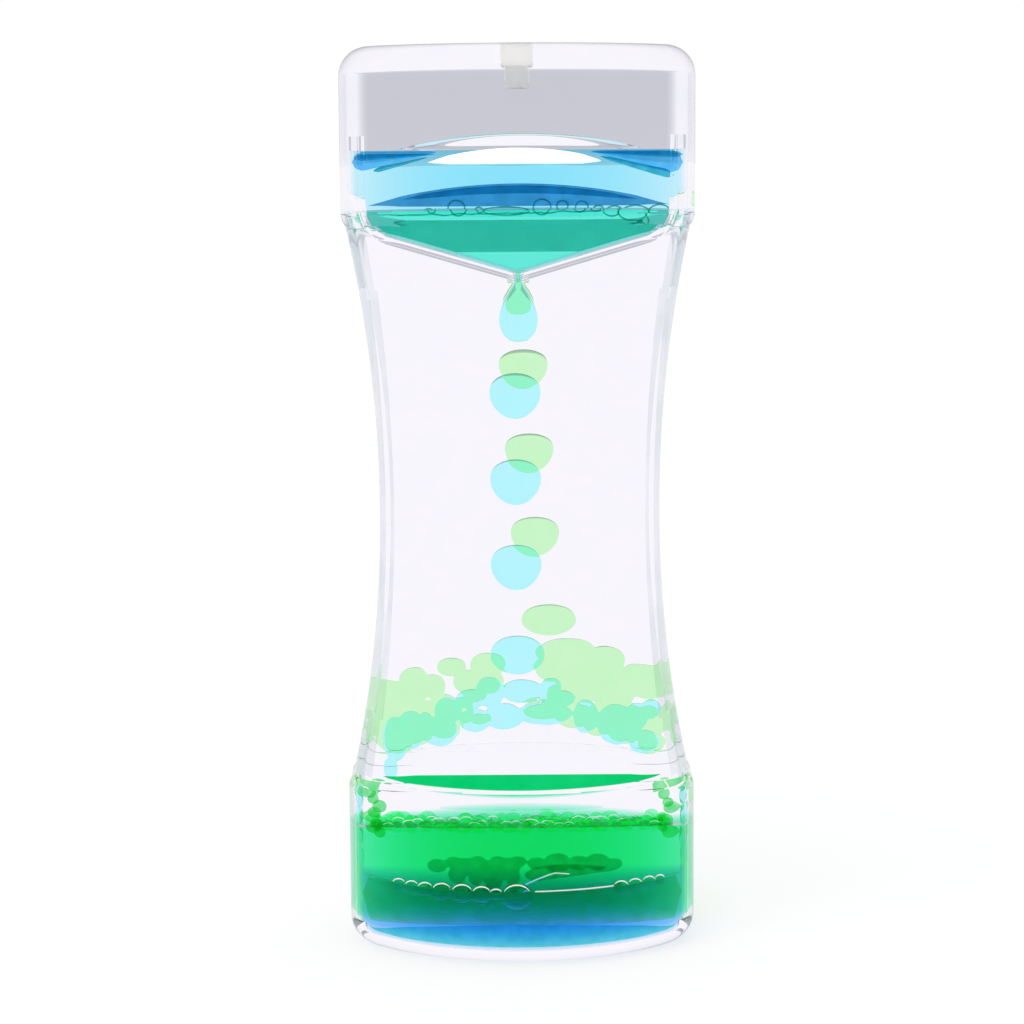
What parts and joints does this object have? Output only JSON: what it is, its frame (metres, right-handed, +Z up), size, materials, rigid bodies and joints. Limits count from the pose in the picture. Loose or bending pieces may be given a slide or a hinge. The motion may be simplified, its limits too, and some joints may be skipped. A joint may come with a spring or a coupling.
{
  "type": "liquid motion timer",
  "caption": "Clear hourglass case of two half shells and a divider; coloured liquid falls in drops from a funnel tray in each compartment to the tray and pool below.",
  "frame": {"origin": "centre of the bottom face, on the surface the timer stands on", "axes": "+Z up along the timer's length, +X to the right seen from the front, front towards -Y"},
  "size_m": [0.0544, 0.04, 0.14],
  "materials": {
    "clear_case": "polished clear moulding",
    "clear_insert": "polished clear sheet",
    "plug": "satin cream",
    "blue_liquid": "clear dyed liquid",
    "green_liquid": "clear dyed liquid",
    "blue_drops": "clear dyed liquid, thin",
    "green_drops": "clear dyed liquid, thin"
  },
  "bodies": {
    "case": {"front_shell": "clear_case", "rear_shell": "clear_case", "divider_panel": "clear_insert", "upper_front_funnel": "clear_insert", "upper_rear_funnel": "clear_insert", "lower_front_funnel": "clear_insert", "lower_rear_funnel": "clear_insert", "front_filler_plug": "plug", "rear_filler_plug": "plug", "upper_blue_liquid": "blue_liquid", "lower_blue_liquid": "blue_liquid", "upper_green_liquid": "green_liquid", "lower_green_liquid": "green_liquid", "blue_hanging_drop": "blue_drops", "blue_landed_drop": "blue_drops", "blue_bead_pile": "blue_drops", "blue_channel_drops": "blue_drops", "blue_froth": "blue_drops", "green_hanging_drop": "green_drops", "green_landed_drop": "green_drops", "green_bead_pile": "green_drops", "green_channel_drops": "green_drops", "green_froth": "green_drops"},
    "blue_drop_1": {"blue_drop_1": "blue_drops"},
    "blue_drop_2": {"blue_drop_2": "blue_drops"},
    "blue_drop_3": {"blue_drop_3": "blue_drops"},
    "green_drop_1": {"green_drop_1": "green_drops"},
    "green_drop_2": {"green_drop_2": "green_drops"},
    "green_drop_3": {"green_drop_3": "green_drops"}
  },
  "joints": [
    {"name": "blue_drop_1_fall", "type": "slide", "parent": "case", "child": "blue_drop_1", "axis": [0, 0, -1], "range_m": [-0.004, 0.006]},
    {"name": "blue_drop_2_fall", "type": "slide", "parent": "case", "child": "blue_drop_2", "axis": [0, 0, -1], "range_m": [-0.004, 0.006]},
    {"name": "blue_drop_3_fall", "type": "slide", "parent": "case", "child": "blue_drop_3", "axis": [0, 0, -1], "range_m": [-0.004, 0.006]},
    {"name": "green_drop_1_fall", "type": "slide", "parent": "case", "child": "green_drop_1", "axis": [0.064, 0, -0.998], "range_m": [-0.005, 0.007]},
    {"name": "green_drop_2_fall", "type": "slide", "parent": "case", "child": "green_drop_2", "axis": [0.064, 0, -0.998], "range_m": [-0.005, 0.007]},
    {"name": "green_drop_3_fall", "type": "slide", "parent": "case", "child": "green_drop_3", "axis": [0.064, 0, -0.998], "range_m": [-0.005, 0.007]}
  ],
  "couplings": [
    {"joint": "blue_drop_2_fall", "follows": "blue_drop_1_fall", "ratio": 1},
    {"joint": "blue_drop_3_fall", "follows": "blue_drop_1_fall", "ratio": 1},
    {"joint": "green_drop_2_fall", "follows": "green_drop_1_fall", "ratio": 1},
    {"joint": "green_drop_3_fall", "follows": "green_drop_1_fall", "ratio": 1}
  ]
}
